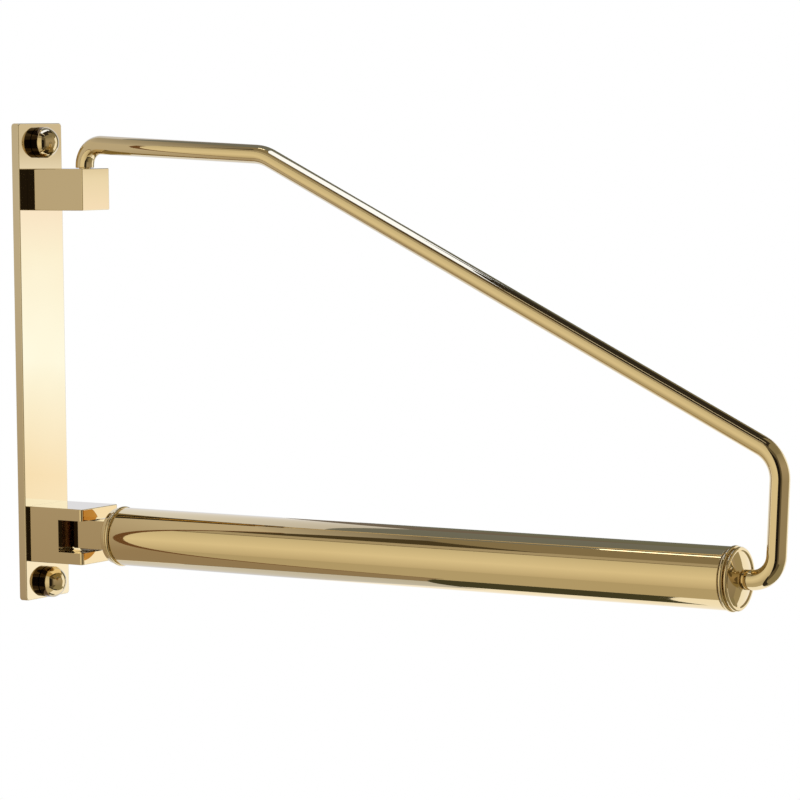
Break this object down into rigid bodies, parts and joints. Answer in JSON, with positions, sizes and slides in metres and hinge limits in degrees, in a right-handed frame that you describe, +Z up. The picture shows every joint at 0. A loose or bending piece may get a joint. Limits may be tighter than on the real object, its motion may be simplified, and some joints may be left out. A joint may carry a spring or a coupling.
{
  "type": "wall-mounted clothes rail",
  "caption": "Polished gold wall-mounted clothes rail: a flat wall plate carries a round rail braced by a bent rod, hinged so that it swings sideways towards the wall.",
  "frame": {"origin": "middle of the wall plate's back face, on the wall", "axes": "+Z up along the plate, +Y into the wall, so the rail stands out along -Y; +X to the right of someone who faces the wall"},
  "size_m": [0.03, 0.3653, 0.208],
  "materials": {
    "plate_gold": "mirror-polished pale gold plating",
    "block_gold": "mirror-polished pale gold plating",
    "rail_gold": "mirror-polished gold plating",
    "rod_gold": "mirror-polished gold plating",
    "cap_gold": "mirror-polished gold plating",
    "nylon": "natural moulded nylon",
    "bush_bronze": "turned bronze",
    "zinc_steel": "zinc-plated steel"
  },
  "bodies": {
    "bracket": {"wall_plate": "plate_gold", "upper_block": "block_gold", "upper_block_screw_top": "zinc_steel", "upper_block_screw_bottom": "zinc_steel", "pivot_bush": "nylon", "hinge_fork": "block_gold", "fork_screw_top": "zinc_steel", "fork_screw_bottom": "zinc_steel", "hinge_pin": "zinc_steel", "thrust_washer": "nylon", "cap_collar_top": "zinc_steel", "cap_collar_bottom": "zinc_steel", "screw_cap_top": "cap_gold", "screw_cap_bottom": "cap_gold"},
    "arm": {"arm_root": "rail_gold", "tongue_bush": "bush_bronze", "root_ring": "rail_gold", "rail_tube": "rail_gold", "end_ring": "rail_gold", "end_cap": "rail_gold", "support_rod": "rod_gold", "rod_nut": "zinc_steel"}
  },
  "joints": [
    {"name": "arm_swing", "type": "hinge", "parent": "bracket", "child": "arm", "pos_m": [0, -0.0283, -0.0747], "axis": [0, 0, 1], "range_deg": [-90, 90]}
  ]
}
